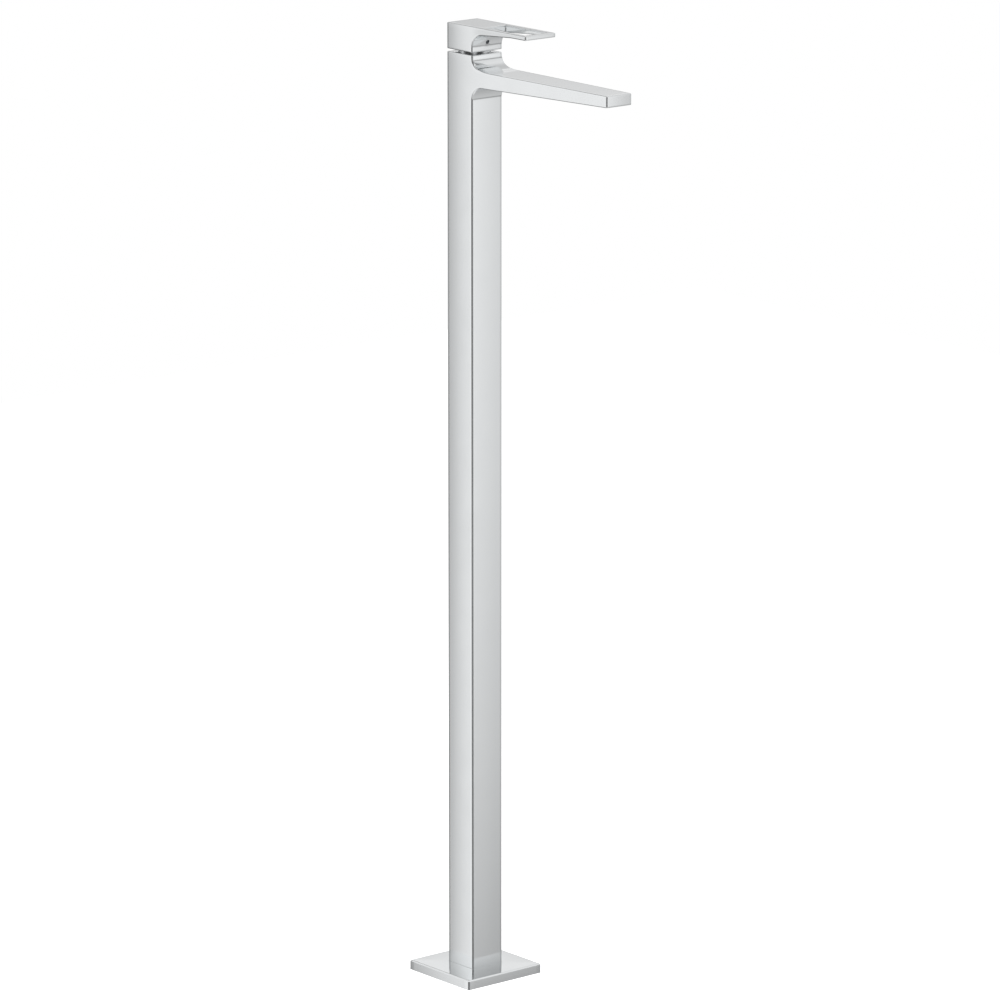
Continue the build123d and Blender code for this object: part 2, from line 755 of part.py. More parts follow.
insert_radius = aerator_bore - aerator_wall - thread_play
with BuildPart() as aerator_insert:
    with BuildSketch(Plane.XY.offset(aerator_bottom + aerator_inset)):
        with Locations((0, aerator_y)):
            Circle(insert_radius)
            Circle(aerator_hole, mode=Mode.SUBTRACT)
            with PolarLocations(insert_radius / 3, 6):
                Circle(aerator_hole, mode=Mode.SUBTRACT)
            with PolarLocations(2 * insert_radius / 3, 12):
                Circle(aerator_hole, mode=Mode.SUBTRACT)
    extrude(amount=aerator_height - aerator_inset)
finish(aerator_insert, "aerator_insert")

with BuildPart() as aerator_seal:
    with BuildSketch(Plane.XY.offset(aerator_bottom + aerator_height)):
        with Locations((0, aerator_y)):
            Circle(aerator_bore - thread_play)
            Circle(aerator_bore - aerator_seal_width, mode=Mode.SUBTRACT)
    extrude(amount=aerator_seal_height)
finish(aerator_seal, "aerator_seal")
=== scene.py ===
from math import atan, cos, pi, radians, sin, tan

import bmesh
import bpy
import numpy as np
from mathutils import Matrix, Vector


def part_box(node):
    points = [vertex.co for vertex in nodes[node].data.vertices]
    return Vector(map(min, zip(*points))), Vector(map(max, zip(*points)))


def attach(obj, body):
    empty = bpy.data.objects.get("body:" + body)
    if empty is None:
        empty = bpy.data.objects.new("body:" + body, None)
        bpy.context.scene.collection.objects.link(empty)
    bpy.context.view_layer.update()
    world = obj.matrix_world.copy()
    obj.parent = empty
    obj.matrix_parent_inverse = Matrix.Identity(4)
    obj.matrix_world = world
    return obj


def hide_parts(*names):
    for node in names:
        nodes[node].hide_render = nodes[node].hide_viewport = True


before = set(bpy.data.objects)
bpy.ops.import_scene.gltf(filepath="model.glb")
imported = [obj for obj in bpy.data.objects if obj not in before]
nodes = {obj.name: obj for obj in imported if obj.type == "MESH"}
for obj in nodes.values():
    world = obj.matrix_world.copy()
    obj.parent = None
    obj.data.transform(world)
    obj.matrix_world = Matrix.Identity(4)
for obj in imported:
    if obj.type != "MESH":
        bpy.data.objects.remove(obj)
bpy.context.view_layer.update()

mm = 0.001

# Floor flange.
# The real piece is a cut steel plate with a welded square socket, hot-dip galvanised.
# Four screws hold it on the floor, out of sight under the base cover.


def linear(hex_colour):
    """An sRGB hex colour as the linear colour that a shader takes, by the sRGB curve."""
    channel = np.array([int(hex_colour[i:i + 2], 16) for i in (1, 3, 5)]) / 255
    curved = np.where(channel <= 0.04045, channel / 12.92, ((channel + 0.055) / 1.055) ** 2.4)
    return (*curved.tolist(), 1.0)


def add(tree, kind, sockets=None, stops=(), **settings):
    """Adds a node with its settings. A socket takes a value, or a link given as (node, output), and a colour ramp
    takes stops of (place from 0 to 1, grey)."""
    node = tree.nodes.new(kind)
    for _ in stops[2:]:
        node.color_ramp.elements.new(0.5)
    for element, (place, grey) in zip(node.color_ramp.elements if stops else (), stops):
        element.position, element.color = place, (grey, grey, grey, 1)
    for name, value in settings.items():
        setattr(node, name, value)
    for socket, value in (sockets or {}).items():
        if isinstance(value, tuple) and isinstance(value[0], bpy.types.Node):
            tree.links.new(value[0].outputs[value[1]], node.inputs[socket])
        else:
            node.inputs[socket].default_value = value
    return node


def new_material(name, **values):
    """A material with one Principled shader. Its uniform values are set on the shader's own sockets."""
    material = bpy.data.materials.new(name)
    material.use_nodes = True
    shader = material.node_tree.nodes["Principled BSDF"]
    for socket, value in values.items():
        shader.inputs[socket.replace("_", " ")].default_value = value
    return material, material.node_tree, shader


def dress(material, *names):
    """Puts a material on CAD nodes that keep their own shape."""
    for name in names:
        for slot in nodes[name].material_slots:
            slot.material = material


# Hot-dip galvanised steel: a dull grey with zinc crystals 6 mm across that differ in tone and gloss.
spangle = 6 * mm
galvanised, tree, shader = new_material("galvanised_steel", Metallic=1.0)
place = add(tree, "ShaderNodeTexCoord")
crystals = add(tree, "ShaderNodeTexVoronoi", {"Vector": (place, "Object"), "Scale": 1 / spangle})
tones = {"Fac": (crystals, "Color"), "Color1": linear("#8F9294"), "Color2": linear("#B4B8BA")}
tone = add(tree, "ShaderNodeMixRGB", tones)
gloss = add(tree, "ShaderNodeMapRange", {"Value": (crystals, "Distance"), "To Min": 0.34, "To Max": 0.52})
tree.links.new(tone.outputs[0], shader.inputs["Base Color"])
tree.links.new(gloss.outputs[0], shader.inputs["Roughness"])
dress(galvanised, "floor_flange")

# Gasket and water seals.
# All are moulded EPDM rubber, matt black with a faint bloom. The flat gasket lies between the flange and the
# cover, and the rings sit in their grooves in the head and in the cartridge.


def grain(tree, size, stretch=(1, 1, 1)):
    """Noise on Object coordinates whose patches are about size metres across, longer where stretch is more."""
    place = add(tree, "ShaderNodeTexCoord")
    scale = tuple(1 / (size * s) for s in stretch)
    scaled = add(tree, "ShaderNodeMapping", {"Vector": (place, "Object"), "Scale": scale})
    return add(tree, "ShaderNodeTexNoise", {"Vector": (scaled, "Vector"), "Scale": 1.0, "Detail": 3})


bloom = 2.5 * mm
rubber, tree, shader = new_material("moulded_epdm_rubber", Roughness=0.72, IOR=1.5)
patches = grain(tree, bloom)
tones = {"Fac": (patches, "Fac"), "Color1": linear("#161616"), "Color2": linear("#2A2A2A")}
tone = add(tree, "ShaderNodeMixRGB", tones)
tree.links.new(tone.outputs[0], shader.inputs["Base Color"])
dress(rubber, "escutcheon_seal", "pipe_seals", "cartridge_base_seals", "disc_seals", "aerator_seal")

# Column.
# The real piece is a square steel tube, 2.5 mm thick, ground, buffed along its length and chrome plated.
# It stands on the flange's socket and two set screws hold it from behind.
# Points nearer than weld are one. An edge bent by more than crease is rounded, and fold is the angle between two
# edges below which they fold the rounding at their corner.
weld, crease, fold = 0.002 * mm, radians(32), radians(14)


def quads_between(rows, columns, closed=False):
    """Quads of a grid of rows by columns points. Each joins a point, its neighbours and the one across."""
    row = np.arange(rows - 1)[:, None]
    column = np.arange(columns if closed else columns - 1)[None, :]
    after = (column + 1) % columns
    here, above = row * columns, (row + 1) * columns
    corners = np.broadcast_arrays(here + column, here + after, above + after, above + column)
    return np.stack(corners, -1).reshape(-1, 4)


def rings(*loops):
    """A patch from closed loops of as many points each, joined in order. A loop that is one point closes it."""
    points = np.stack(loops)
    return points.reshape(-1, 3), quads_between(len(loops), points.shape[1], closed=True)


def make_piece(name, patches, material, body, edge, share_at=None):
    """One closed mesh from patches that share their border points. Its sharp edges are rounded to the radius edge,
    times what share_at gives for the ends of each edge. A face edge that leaves a corner almost along a sharp one
    would fold the rounding there, so it is taken out and its two faces become one."""
    starts = np.cumsum([0] + [len(points) for points, _ in patches])
    points = np.concatenate([points for points, _ in patches])
    quads = np.concatenate([quads + start for (_, quads), start in zip(patches, starts)])
    mesh = bpy.data.meshes.new(name)
    mesh.from_pydata(points.tolist(), [], quads.tolist())
    shape = bmesh.new()
    shape.from_mesh(mesh)
    bmesh.ops.remove_doubles(shape, verts=shape.verts, dist=weld)
    bmesh.ops.dissolve_degenerate(shape, edges=shape.edges, dist=weld / 2)
    bmesh.ops.recalc_face_normals(shape, faces=shape.faces)
    weight = shape.edges.layers.float.new("bevel_weight_edge")
    sharp = [e for e in shape.edges if len(e.link_faces) == 2 and e.calc_face_angle() > crease]
    ends = np.array([[tuple(v.co) for v in e.verts] for e in sharp])
    shares = np.ones(len(sharp)) if share_at is None else share_at(ends[:, 0], ends[:, 1])
    folds, kept = set(), set(sharp)
    for rounded, share in zip(sharp, shares):
        rounded[weight] = share
        for corner in rounded.verts:
            way = rounded.other_vert(corner).co - corner.co
            for other in set(corner.link_edges) - kept:
                if way.angle(other.other_vert(corner).co - corner.co) < fold:
                    folds.add(other)
    bmesh.ops.dissolve_edges(shape, edges=[e for e in shape.edges if e in folds], use_verts=False)
    shape.to_mesh(mesh)
    shape.free()
    mesh.polygons.foreach_set("use_smooth", [True] * len(mesh.polygons))
    piece = bpy.data.objects.new(name, mesh)
    bpy.context.scene.collection.objects.link(piece)
    mesh.materials.append(material)
    bevel = piece.modifiers.new("rounded edges", "BEVEL")
    bevel.width, bevel.segments, bevel.limit_method = edge, 3, "WEIGHT"
    bevel.use_clamp_overlap, bevel.loop_slide = False, False
    even = piece.modifiers.new("large faces stay even", "WEIGHTED_NORMAL")
    even.mode, even.weight, even.keep_sharp = "FACE_AREA", 100, True
    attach(piece, body)
    return piece


def near(start, end, centre, reach):
    """Whether both ends of each edge lie within reach of a centre."""
    return np.linalg.norm([start - centre, end - centre], axis=2).max(axis=0) < reach


# A noise keeps to its middle, and this spreads that over the whole of a range.
noise_middle = {"From Min": 0.3, "From Max": 0.7}


def chrome(name, length_axis, haze=(0.09, 0.13)):
    """Bright nickel-chrome plate over a buffed base: nearly a mirror, a touch blue, with polishing haze in patches
    and hair lines along the way that it was buffed. The lines are 0.5 mm apart and drawn 40 times as long."""
    material, tree, shader = new_material(name, Metallic=1.0, Base_Color=linear("#EFF1F2"))
    stretch = [40 if axis == length_axis else 1 for axis in "XYZ"]
    lines = grain(tree, 0.5 * mm, stretch)
    patches = grain(tree, 35 * mm)
    both = add(tree, "ShaderNodeMath", {0: (lines, "Fac"), 1: (patches, "Fac")}, operation="ADD")
    half = add(tree, "ShaderNodeMath", {0: (both, 0), 1: 0.5}, operation="MULTIPLY")
    sockets = {"Value": (half, 0), **noise_middle, "To Min": haze[0], "To Max": haze[1]}
    gloss = add(tree, "ShaderNodeMapRange", sockets)
    tree.links.new(gloss.outputs[0], shader.inputs["Roughness"])
    relief = add(tree, "ShaderNodeBump", {"Height": (lines, "Fac"), "Strength": 0.04, "Distance": 0.01 * mm})
    tree.links.new(relief.outputs[0], shader.inputs["Normal"])
    return material


low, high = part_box("column_tube")
half_width = high.x
wall = 2.5 * mm
crown = 0.15 * mm
tube_edge = 1.3 * mm
# Shares of the rounding for edges that stay nearly sharp, and for the joint, where the ends only just break.
fine_edge, joint_edge = 0.15, 0.02
same = 0.01 * mm
# Shares across a face, from one corner to the other. The middle of them, within 0.4, holds the screws' holes.
across = np.linspace(-1, 1, 13)
hole_share, hole_margin = 0.4, 6 * mm
screw_radius, screw_reach = 2.5 * mm, 4 * mm
screw_heights = (40 * mm, 58 * mm)


def square_row(half, bulge, z):
    """Closed loop of a square with crowned sides: one side's points, turned by each quarter turn."""
    reach = half - bulge
    side = np.stack([across[:-1] * reach, -half + bulge * across[:-1] ** 2], -1)
    turns = [np.array([[cos(a), -sin(a)], [sin(a), cos(a)]]) for a in (0, pi / 2, pi, 3 * pi / 2)]
    flat = np.concatenate([side @ turn.T for turn in turns])
    return np.column_stack([flat, np.full(len(flat), z)])


hole_levels = [height + side * hole_margin for height in screw_heights for side in (-1, 1)]
levels = [low.z, *hole_levels, *np.linspace(100 * mm, high.z, 11)]
outer = np.stack([square_row(half_width, crown, z) for z in levels])
inner = np.stack([square_row(half_width - wall, crown, z) for z in levels])
# The rear side is the third of the row's four.
rear = 2 * (len(across) - 1) + np.arange(len(across) - 1)
open_columns = rear[(abs(across[:-1]) < hole_share) & (abs(across[1:]) < hole_share)]
open_rows = [levels.index(height - hole_margin) for height in screw_heights]
keep = np.ones((len(levels) - 1, outer.shape[1]), bool)
keep[np.ix_(open_rows, open_columns)] = False
patches = []
for wall_points in (outer, inner):
    points, quads = rings(*wall_points)
    patches.append((points, quads[keep.reshape(-1)]))
patches += [rings(outer[0], inner[0]), rings(outer[-1], inner[-1])]


def border(points, rows, columns):
    """The closed loop round a block of a grid of points, from its first to its last row and column."""
    (top, bottom), (left, right) = rows, columns
    return np.concatenate([
        points[top, left:right], points[top:bottom, right], points[bottom, right:left:-1], points[bottom:top:-1, left],
    ])


def circle_on(loop, centre, radius, axes):
    """A circle with one point for each point of a loop, at the same angle round centre. Axes are its plane's."""
    (u, v), w = axes, 3 - sum(axes)
    angle = np.arctan2(loop[:, v] - centre[v], loop[:, u] - centre[u])
    circle = np.array(loop, float)
    circle[:, u] = centre[u] + radius * np.cos(angle)
    circle[:, v] = centre[v] + radius * np.sin(angle)
    circle[:, w] = centre[w]
    return circle


for row, height in zip(open_rows, screw_heights):
    block = ((row, row + 1), (open_columns[0], open_columns[-1] + 1))
    edge_out, edge_in = border(outer, *block), border(inner, *block)
    hole_out = circle_on(edge_out, (0, half_width, height), screw_radius, (0, 2))
    hole_in = circle_on(edge_in, (0, half_width - wall, height), screw_radius, (0, 2))
    patches.append(rings(edge_out, hole_out, hole_in, edge_in))


def tube_share(start, end):
    """The tube's ends are all but sharp, so that the joint with the head doesn't show, and so are the screw holes."""
    share = np.where(abs(start[:, 2] - end[:, 2]) < same, joint_edge, 1.0)
    for height in screw_heights:
        share[near(start, end, (0, half_width - wall / 2, height), screw_reach)] = fine_edge
    return share


tube_chrome = chrome("chrome_on_buffed_steel_tube", "Z")
column = make_piece("square_column", patches, tube_chrome, "root", tube_edge, tube_share)
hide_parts("column_tube")

# Set screws, grub screw and pins.
# They are turned stainless steel with hexagon sockets, satin from the tool, with fine rings round their axis.
turned = 0.15 * mm
stainless, tree, shader = new_material("turned_stainless_steel", Metallic=1.0, Base_Color=linear("#B9BABB"))
marks = grain(tree, turned, (8, 1, 8))
sockets = {"Value": (marks, "Fac"), **noise_middle, "To Min": 0.22, "To Max": 0.38}
gloss = add(tree, "ShaderNodeMapRange", sockets)
tree.links.new(gloss.outputs[0], shader.inputs["Roughness"])
dress(stainless, "column_set_screws", "handle_grub_screw", "pivot_pin", "lever_stem")

# Supply pipes.
# They are drawn copper, hot on the left and cold on the right, with dull brown patches from handling.
copper, tree, shader = new_material("drawn_copper", Metallic=1.0)
stains = grain(tree, 14 * mm)
tones = {"Fac": (stains, "Fac"), "Color1": linear("#B8734F"), "Color2": linear("#D39A76")}
tone = add(tree, "ShaderNodeMixRGB", tones)
sockets = {"Value": (stains, "Fac"), **noise_middle, "To Min": 0.42, "To Max": 0.24}
gloss = add(tree, "ShaderNodeMapRange", sockets)
tree.links.new(tone.outputs[0], shader.inputs["Base Color"])
tree.links.new(gloss.outputs[0], shader.inputs["Roughness"])
dress(copper, "hot_supply_pipe", "cold_supply_pipe")

# Union nuts and the cartridge's ring nut.
# They are turned and milled raw brass, yellow, with tool marks.
brass, tree, shader = new_material("turned_brass", Metallic=1.0)
marks = grain(tree, 0.3 * mm, (1, 1, 0.3))
tones = {"Fac": (marks, "Fac"), "Color1": linear("#B9974F"), "Color2": linear("#D6B56E")}
tone = add(tree, "ShaderNodeMixRGB", tones)
sockets = {"Value": (marks, "Fac"), **noise_middle, "To Min": 0.2, "To Max": 0.34}
gloss = add(tree, "ShaderNodeMapRange", sockets)
tree.links.new(tone.outputs[0], shader.inputs["Base Color"])
tree.links.new(gloss.outputs[0], shader.inputs["Roughness"])
dress(brass, "hot_union_nut", "cold_union_nut", "cartridge_nut")

# Union washers.
# They are punched from vulcanised fibre, brick red with short fibres.
fibre, tree, shader = new_material("vulcanised_fibre", Roughness=0.66, IOR=1.5)
threads = grain(tree, 0.6 * mm, (4, 1, 1))
tones = {"Fac": (threads, "Fac"), "Color1": linear("#6E2C20"), "Color2": linear("#8F4433")}
tone = add(tree, "ShaderNodeMixRGB", tones)
tree.links.new(tone.outputs[0], shader.inputs["Base Color"])
dress(fibre, "union_washers")

# Pipe spacers and the cartridge's plastic pieces.
# They are moulded acetal, off-white and waxy, a little translucent at thin edges, with a fine moulded grain.
acetal, tree, shader = new_material("moulded_acetal", IOR=1.48, Subsurface_Weight=0.08, Base_Color=linear("#E6E5DF"))
skin = grain(tree, 0.8 * mm)
sockets = {"Value": (skin, "Fac"), **noise_middle, "To Min": 0.3, "To Max": 0.42}
gloss = add(tree, "ShaderNodeMapRange", sockets)
tree.links.new(gloss.outputs[0], shader.inputs["Roughness"])
dress(acetal, "pipe_spacers", "cartridge_base", "cartridge_housing", "disc_carrier", "swivel_rotor")

# Ceramic discs.
# They are lapped alumina, cream white, polished on the faces that slide on each other.
ceramic, tree, shader = new_material("lapped_alumina", IOR=1.76, Base_Color=linear("#EFEBDD"))
pores = grain(tree, 0.5 * mm)
sockets = {"Value": (pores, "Fac"), **noise_middle, "To Min": 0.1, "To Max": 0.2}
gloss = add(tree, "ShaderNodeMapRange", sockets)
tree.links.new(gloss.outputs[0], shader.inputs["Roughness"])
dress(ceramic, "fixed_ceramic_disc", "moving_ceramic_disc")

# Mixer head.
# The real piece is one brass casting, body and spout together, machined, buffed and chrome plated.
# Its spigot is brazed into the column. The side outline is one line that runs round body, throat and spout.
low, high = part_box("mixer_head")
body_top, spout_tip = high.z, low.y
head_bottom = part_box("column_tube")[1].z
front = -half_width
corner_at = half_width - crown
body_y = across[::-1] * corner_at
spout_top = body_top - 17.8 * mm
throat_run, throat_stiff, throat_soft = 35 * mm, 2.8 * mm, 11.5 * mm
root_height, tip_height = 19.7 * mm, 13.9 * mm
under_radius = 16.5 * mm
tip_half_width, fade_length = 18.65 * mm, 20 * mm
tip_crown, bow = 0.2 * mm, 0.3 * mm
spout_edge, edge_run_out = 1.1 * mm, 25 * mm
arc_steps, run_steps, tip_steps, low_steps = 24, 40, 6, 4


def grid(points, keep=None):
    """A patch from points laid out as (rows, columns, 3). Keep is a mask of its quads, for holes."""
    rows, columns = points.shape[:2]
    quads = quads_between(rows, columns)
    if keep is not None:
        quads = quads[keep.reshape(-1)]
    return points.reshape(-1, 3), quads


def between(start, end, count):
    """Points on the straight lines from start to end: start + (end - start) * share, for count + 1 shares."""
    share = np.linspace(0, 1, count + 1).reshape((-1,) + (1,) * np.ndim(start))
    return np.asarray(start) + (np.asarray(end) - np.asarray(start)) * share


def fall_away(y, length, inset, tip):
    """Half width at y of a body with an arm. Over the body it is a crowned face, and past its front corner the
    slope fades by exp(-distance / length) to a steady one, so that at the tip the inset is the one asked for."""
    distance = np.maximum(-corner_at - y, 0)
    start_slope = 2 * crown / half_width
    steady = (inset - crown - start_slope * length) / (-corner_at - tip - length)
    along = steady * distance + (start_slope - steady) * length * (1 - np.exp(-distance / length))
    return half_width - crown * (np.maximum(y, -corner_at) / half_width) ** 2 - along


def head_half(y):
    """Half width of the head at y, down to the tip's."""
    return fall_away(y, fade_length, half_width - tip_half_width, spout_tip)


def arc_under(edge_y, root_z, slope, radius, count):
    """Points and outward normals of the hollow arc from a vertical face to the arm's underside. Its centre is one
    radius in front of the face and one radius below the sloping line."""
    centre_z = root_z + slope * radius - radius / cos(atan(slope))
    angle = np.linspace(0, pi / 2 - atan(slope), count + 1)
    unit = np.stack([np.cos(angle), np.sin(angle)], -1)
    return np.array([edge_y - radius, centre_z]) + radius * unit, -unit


def bezier(corners, count):
    """Points and left-hand normals of a cubic curve: corner points weighted by (1-t)^3, 3t(1-t)^2, 3t^2(1-t), t^3."""
    t = np.linspace(0, 1, count + 1)[:, None]
    a, b, c, d = np.array(corners)
    points = (1 - t) ** 3 * a + 3 * t * (1 - t) ** 2 * b + 3 * t ** 2 * (1 - t) * c + t ** 3 * d
    way = 3 * (1 - t) ** 2 * (b - a) + 6 * t * (1 - t) * (c - b) + 3 * t ** 2 * (d - c)
    way /= np.linalg.norm(way, axis=1)[:, None]
    return points, np.stack([way[:, 1], -way[:, 0]], -1)


def line(y, z):
    """Points in Y and Z, where either may be one value for all."""
    return np.column_stack(np.broadcast_arrays(y, z))


def strip(outline, normals, bulge, half_at, shares, plumb=0):
    """Rows across X over an outline in Y and Z: each row is sunk by bulge * share^2 along the normal, and spreads
    to the half width at its own ends. With plumb, the points between stand at share * plumb in every row."""
    normals = np.broadcast_to(normals, outline.shape)
    bulge = np.broadcast_to(bulge, len(outline))[:, None]
    ends = outline - normals * bulge
    out = half_at(ends[:, 0])[:, None] * shares
    if plumb:
        out[:, 1:-1] = (shares * plumb)[1:-1]
    sunk = outline[:, None, :] - normals[:, None, :] * (bulge * shares ** 2)[:, :, None]
    return np.concatenate([out[:, :, None], sunk], -1)


def head_rows(outline, normals, bulge):
    return strip(outline, normals, bulge, head_half, across)


def flanks(levels, half_at, under_rows, top_rows, tip_rows):
    """Both sides of a body with an arm: the block between its levels, and the arm between its underside and top."""
    made = []
    for side, sign in ((0, -1), (-1, 1)):
        block = np.empty((len(levels), len(body_y), 3))
        block[:, :, 0] = sign * half_at(body_y)
        block[:, :, 1] = body_y
        block[:, :, 2] = levels[:, None]
        arm = between(under_rows[:, side], top_rows[:, side], len(tip_rows) - 1).transpose(1, 0, 2)
        arm[-1] = tip_rows[::-1, side]
        made += [grid(block), grid(arm)]
    return made


def frame_loop(first_row, last_row, half_at, z):
    """Closed loop round a flat end of the body: the first row, one side, the last row backwards and the other side."""
    right = np.column_stack([half_at(body_y), body_y, np.full(len(body_y), z)])
    left = right * (-1, 1, 1)
    return np.concatenate([first_row[:-1], right[:-1], last_row[:0:-1], left[:0:-1]])


slope = (root_height - tip_height) / (-spout_tip + front)
arc, arc_normals = arc_under(front, spout_top - root_height, slope, under_radius, arc_steps)
throat_corners = [
    (front, body_top), (front, spout_top + throat_stiff), (front - throat_soft, spout_top),
    (front - throat_run, spout_top),
]
throat, throat_normals = bezier(throat_corners, arc_steps)
along = between(0, 1, run_steps)
top_line = between(throat_corners[-1], (spout_tip, spout_top), run_steps)
top_line[:, 1] -= bow * along ** 2
top_normals = line(-2 * bow * along / (-spout_tip + front - throat_run), 1.0)
under_line = between(arc[-1], (spout_tip, spout_top - tip_height), run_steps)
fade = np.linspace(1, 0, arc_steps + 1) ** 2
top_rows = np.concatenate([head_rows(throat, throat_normals, crown * fade), head_rows(top_line, top_normals, 0)[1:]])
under_rows = np.concatenate([head_rows(arc, arc_normals, crown * fade), head_rows(under_line, arc_normals[-1], 0)[1:]])
tip_line = between(top_line[-1], (spout_tip, spout_top - tip_height), tip_steps)
tip_rows = head_rows(tip_line, (-1.0, 0.0), tip_crown)
top_rows[-1], under_rows[-1] = tip_rows[0], tip_rows[-1]
low_levels = np.linspace(head_bottom, arc[0, 1], low_steps + 1)
body_levels = np.concatenate([low_levels, np.linspace(arc[0, 1], body_top, tip_steps + 1)[1:]])
rear_rows = head_rows(line(half_width, body_levels), (1.0, 0.0), crown)
front_rows = head_rows(line(front, low_levels), (-1.0, 0.0), crown)
patches = [grid(front_rows), grid(rear_rows), grid(tip_rows)]
patches += flanks(body_levels, head_half, under_rows, top_rows, tip_rows)
# The cartridge's bore opens in the flat top: the thread's mouth, its shoulder and the bore below.
thread_radius, bore_radius = 19 * mm, 17.8 * mm
shoulder, bore_floor = body_top - 10.5 * mm, body_top - 38 * mm
top_loop = frame_loop(rear_rows[-1], top_rows[0], head_half, body_top)
bore = (
    (thread_radius, body_top), (thread_radius, shoulder), (bore_radius, shoulder), (bore_radius, bore_floor),
    (0, bore_floor),
)
patches.append(rings(top_loop, *(circle_on(top_loop, (0, 0, z), radius, (0, 1)) for radius, z in bore)))
# The spigot below the body goes down into the tube.
spigot_play = 0.1 * mm
spigot_share = (half_width - wall - spigot_play) / half_width
bottom_loop = frame_loop(rear_rows[0], front_rows[0], head_half, head_bottom)
spigot_loop = bottom_loop * (spigot_share, spigot_share, 1)
spigot_end = spigot_loop + (0, 0, low.z - head_bottom)
patches.append(rings(bottom_loop, spigot_loop, spigot_end, spigot_end * (0, 0, 1)))
# The aerator's bore in the underside, near the tip.
aerator_y, aerator_radius, aerator_seat = spout_tip + 16.5 * mm, 12 * mm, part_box("aerator_seal")[1].z
bore_margin, seat_reach = 4 * mm, 14.5 * mm
middle = len(across) // 2
opened = int(np.argmax(under_rows[:, middle, 1] < aerator_y + aerator_radius + bore_margin)) - 1
loop = border(under_rows, (opened, len(under_rows) - 1), (0, len(across) - 1))
rim = circle_on(loop, (0, aerator_y, 0), aerator_radius, (0, 1))
rim[:, 2] = arc[-1, 1] + slope * (arc[-1, 0] - rim[:, 1])
seat = rim * (1, 1, 0) + (0, 0, aerator_seat)
patches.append(rings(*between(loop, rim, 3), seat, seat * 0 + (0, aerator_y, aerator_seat)))
patches += [grid(under_rows[:opened + 1]), grid(top_rows)]


def head_share(start, end):
    """The column's rounding runs out into the spout's. The joint with the tube is all but sharp, and so are the
    rims of the aerator's bore and the cartridge's."""
    out = np.clip((-half_width - (start[:, 1] + end[:, 1]) / 2) / edge_run_out, 0, 1)
    share = 1 - out * (1 - spout_edge / tube_edge)
    share[np.maximum(start[:, 2], end[:, 2]) < head_bottom + same] = joint_edge
    share[near(start, end, (0, aerator_y, aerator_seat), seat_reach)] = fine_edge
    share[near(start * (1, 1, 0), end * (1, 1, 0), (0, 0, 0), thread_radius + 0.1 * mm)] = fine_edge
    return share


head_chrome = chrome("chrome_on_buffed_brass_casting", "Y")
head = make_piece("body_with_spout", patches, head_chrome, "root", tube_edge, head_share)
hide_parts("mixer_head")

# Dome ring.
# The real piece is a turned brass ring, chrome plated, screwed over the cartridge. It fills the gap below the
# handle and its lip keeps the rotor down.


def lathe(profile, around):
    """Rings round the Z axis: each (radius, height) of the profile becomes a circle of points, at equal angles."""
    angle = np.linspace(0, 2 * pi, around, endpoint=False)
    turn = np.column_stack([np.cos(angle), np.sin(angle), np.zeros(around)])
    return rings(*(radius * turn + (0, 0, height) for radius, height in profile))


low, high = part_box("dome_ring")
outside, inside, lip_bore, lip = high.x, 16.9 * mm, 15.8 * mm, 0.7 * mm
ring_edge = 0.2 * mm
profile = [
    (inside, low.z), (outside, low.z), (outside, high.z - lip), (outside - lip, high.z), (lip_bore, high.z),
    (lip_bore, high.z - lip), (inside, high.z - lip), (inside, low.z),
]
ring_chrome = chrome("satin_chrome_on_turned_brass", "X", (0.3, 0.36))
ring = make_piece("dome", [lathe(profile, 96)], ring_chrome, "root", ring_edge)
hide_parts("dome_ring")

# Handle.
# The real piece is one zinc die casting, a hollow block with a flat loop, polished and chrome plated. A boss inside
# takes the stem, and the grub screw behind the plug clamps it.
low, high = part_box("handle")
handle_bottom, handle_top, handle_tip = low.z, high.z, low.y
arm_root, arm_tip = 10 * mm, 5.2 * mm
arm_fade, arm_inset = 6 * mm, 0.1 * mm
under_arm_radius = 17 * mm
level_length, bend_radius = 28 * mm, 150 * mm
hole_half, hole_back, hole_bar = 16 * mm, 37.5 * mm, 8 * mm
hole_front = handle_tip + hole_bar
handle_edge, arm_tip_crown = 1.1 * mm, 0.12 * mm
arm_steps, bar_steps, arm_tip_steps, block_steps = 24, 4, 4, 2
# Shares across the handle. The loop's walls stand at the third from each side, and the plug's hole is in the middle.
columns = np.array([0, 0.22, 0.45, hole_half / corner_at, 0.84, 1])
columns = np.concatenate([-columns[:0:-1], columns])
loop_columns, plug_columns = (2, 8), (4, 6)


def handle_half(y):
    """Half width of the handle at y, with almost parallel sides."""
    return fall_away(y, arm_fade, crown + arm_inset, handle_tip)


def handle_rows(outline, normals, bulge):
    return strip(outline, normals, bulge, handle_half, columns, corner_at)


slope = (arm_root - arm_tip) / (-handle_tip - level_length + front)
arc, arc_normals = arc_under(front, handle_top - arm_root, slope, under_arm_radius, arc_steps)
arc_centre = np.array([front - under_arm_radius, arc[0, 1]])
arc_y = np.concatenate([
    arc[arc[:, 0] > -hole_back + 1.2 * mm][:, 0], [-hole_back], np.linspace(arc[-1, 0], hole_front, arm_steps + 1),
    np.linspace(hole_front, handle_tip, bar_steps + 1)[1:],
])


